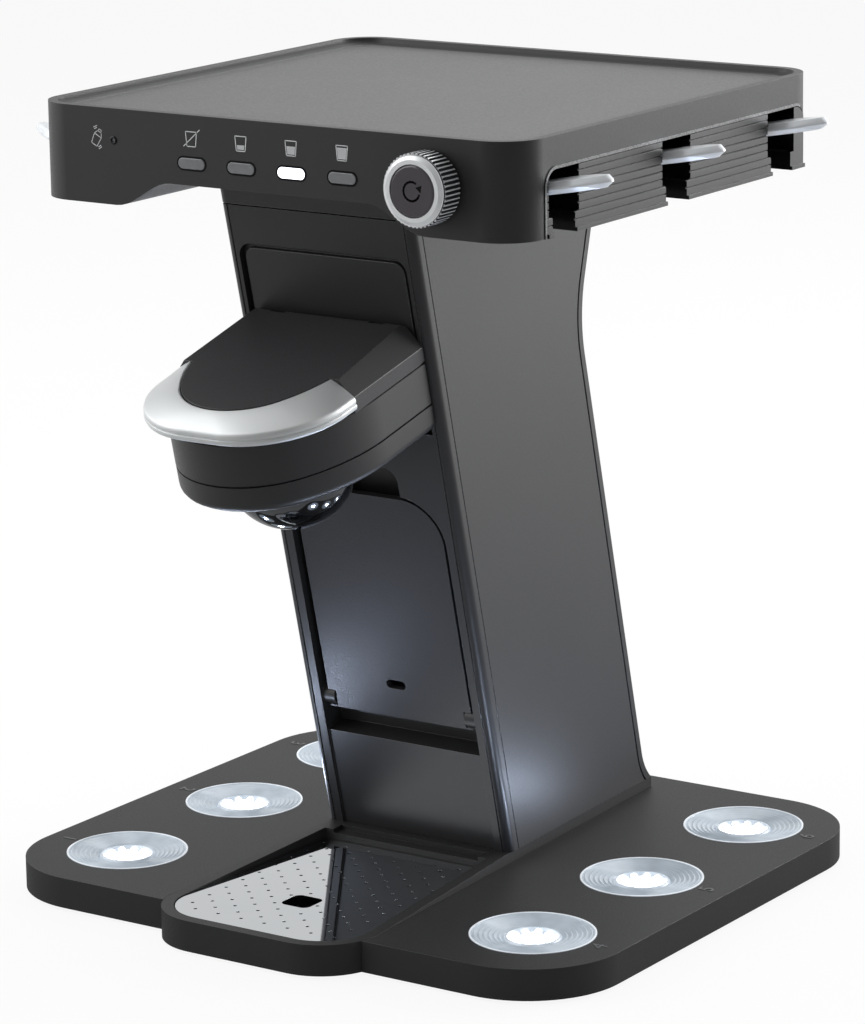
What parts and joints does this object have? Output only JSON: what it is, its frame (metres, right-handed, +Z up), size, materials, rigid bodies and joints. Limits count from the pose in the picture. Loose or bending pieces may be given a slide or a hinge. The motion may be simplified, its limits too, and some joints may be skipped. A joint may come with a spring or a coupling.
{
  "type": "cocktail machine",
  "caption": "Countertop drink dispenser with lit bottle bays, a leaning column, a pod head with a hinged lid, a fold-down cup shelf and a top tray with bottle docks and a dial.",
  "frame": {"origin": "centre of the outline on the surface that the feet stand on", "axes": "+X to the right as one faces the machine, +Y to the back, +Z up"},
  "size_m": [0.358, 0.3567, 0.4202],
  "materials": {
    "black_shell": "fine spark-textured moulding, matte black",
    "black_rail": "ribbed moulding, satin black",
    "dark_inner": "plain inner moulding, black",
    "rubber": "soft moulded black",
    "clear_lens": "clear ringed lens, polished",
    "circuit_board": "solder-masked glass-fibre board",
    "steel": "plain stainless steel",
    "alloy_case": "folded plain aluminium",
    "mirror_steel": "mirror-polished sheet",
    "silicone": "translucent silicone",
    "dark_chrome": "smoked chrome plating",
    "silver_handle": "bead-blasted satin silver",
    "silver_lever": "pearl silver lacquer",
    "light_pipe": "smoked light pipe, unlit",
    "light_lit": "light pipe, lit white",
    "dial_metal": "turned and knurled, bright",
    "smoky_cap": "satin smoke grey"
  },
  "bodies": {
    "machine": {"base_deck": "black_shell", "plinth": "black_shell", "column_front": "black_shell", "side_panel_left": "black_shell", "side_panel_right": "black_shell", "rear_cover": "black_shell", "neck_collar": "black_shell", "head_panel": "black_shell", "head_lower": "black_shell", "head_mid": "black_shell", "tray_shell": "black_shell", "dock_rail_left": "black_rail", "dock_rail_right": "black_rail", "base_pan": "dark_inner", "tray_bottom": "dark_inner", "power_inlet": "dark_inner", "pump_head": "dark_inner", "valve_block": "dark_inner", "rubber_feet": "rubber", "lens_left": "clear_lens", "lens_right": "clear_lens", "led_board_left": "circuit_board", "led_board_right": "circuit_board", "control_board": "circuit_board", "panel_board": "circuit_board", "base_screws": "steel", "cover_screws": "steel", "chassis": "steel", "pump_motor": "steel", "pod_holder": "steel", "pierce_needle": "steel", "lid_pin": "steel", "shelf_pin": "steel", "lever_pins": "steel", "power_supply": "alloy_case", "dial_bushing": "alloy_case", "supply_tubes": "silicone", "pump_tubes": "silicone", "neck_couplers": "silicone", "nozzle_dome": "dark_chrome", "level_lights": "light_pipe", "indicator_lens": "light_pipe", "level_light_lit": "light_lit"},
    "lid": {"lid_shell": "black_shell", "lid_handle": "silver_handle", "lid_plunger": "dark_inner", "lid_seal": "rubber"},
    "shelf": {"cup_shelf": "black_shell"},
    "dial": {"dial_ring": "dial_metal"},
    "cap": {"dial_cap": "smoky_cap"},
    "cup": {"drip_cup": "dark_inner"},
    "plate": {"drip_plate": "mirror_steel"},
    "lever_left_1": {"lever_left_1": "silver_lever"},
    "lever_left_2": {"lever_left_2": "silver_lever"},
    "lever_left_3": {"lever_left_3": "silver_lever"},
    "lever_right_1": {"lever_right_1": "silver_lever"},
    "lever_right_2": {"lever_right_2": "silver_lever"},
    "lever_right_3": {"lever_right_3": "silver_lever"}
  },
  "joints": [
    {"name": "lid_hinge", "type": "hinge", "parent": "machine", "child": "lid", "pos_m": [0, -0.0685, 0.31015], "axis": [-1, 0, 0], "range_deg": [0, 55]},
    {"name": "shelf_hinge", "type": "hinge", "parent": "machine", "child": "shelf", "pos_m": [0, -0.00597, 0.09861], "axis": [1, 0, 0], "range_deg": [0, 76.4]},
    {"name": "dial_turn", "type": "hinge", "parent": "machine", "child": "dial", "pos_m": [0.097, -0.12493, 0.3963], "axis": [0, -1, 0], "continuous": true},
    {"name": "cap_press", "type": "slide", "parent": "machine", "child": "cap", "axis": [0, 1, 0], "range_m": [0, 0.0016], "stiffness_N_per_m": 900, "springref_m": -0.0006},
    {"name": "cup_lift", "type": "slide", "parent": "machine", "child": "cup", "axis": [0, 0, 1], "range_m": [0, 0.025]},
    {"name": "plate_lift", "type": "slide", "parent": "cup", "child": "plate", "axis": [0, 0, 1], "range_m": [0, 0.03]},
    {"name": "lever_left_1_tilt", "type": "hinge", "parent": "machine", "child": "lever_left_1", "pos_m": [-0.116, -0.07773, 0.3898], "axis": [0, 1, 0], "range_deg": [-6, 8], "stiffness_Nm_per_rad": 0.5},
    {"name": "lever_left_2_tilt", "type": "hinge", "parent": "machine", "child": "lever_left_2", "pos_m": [-0.116, 0.02627, 0.3898], "axis": [0, 1, 0], "range_deg": [-6, 8], "stiffness_Nm_per_rad": 0.5},
    {"name": "lever_left_3_tilt", "type": "hinge", "parent": "machine", "child": "lever_left_3", "pos_m": [-0.116, 0.13027, 0.3898], "axis": [0, 1, 0], "range_deg": [-6, 8], "stiffness_Nm_per_rad": 0.5},
    {"name": "lever_right_1_tilt", "type": "hinge", "parent": "machine", "child": "lever_right_1", "pos_m": [0.116, -0.07773, 0.3898], "axis": [0, -1, 0], "range_deg": [-6, 8], "stiffness_Nm_per_rad": 0.5},
    {"name": "lever_right_2_tilt", "type": "hinge", "parent": "machine", "child": "lever_right_2", "pos_m": [0.116, 0.02627, 0.3898], "axis": [0, -1, 0], "range_deg": [-6, 8], "stiffness_Nm_per_rad": 0.5},
    {"name": "lever_right_3_tilt", "type": "hinge", "parent": "machine", "child": "lever_right_3", "pos_m": [0.116, 0.13027, 0.3898], "axis": [0, -1, 0], "range_deg": [-6, 8], "stiffness_Nm_per_rad": 0.5}
  ]
}
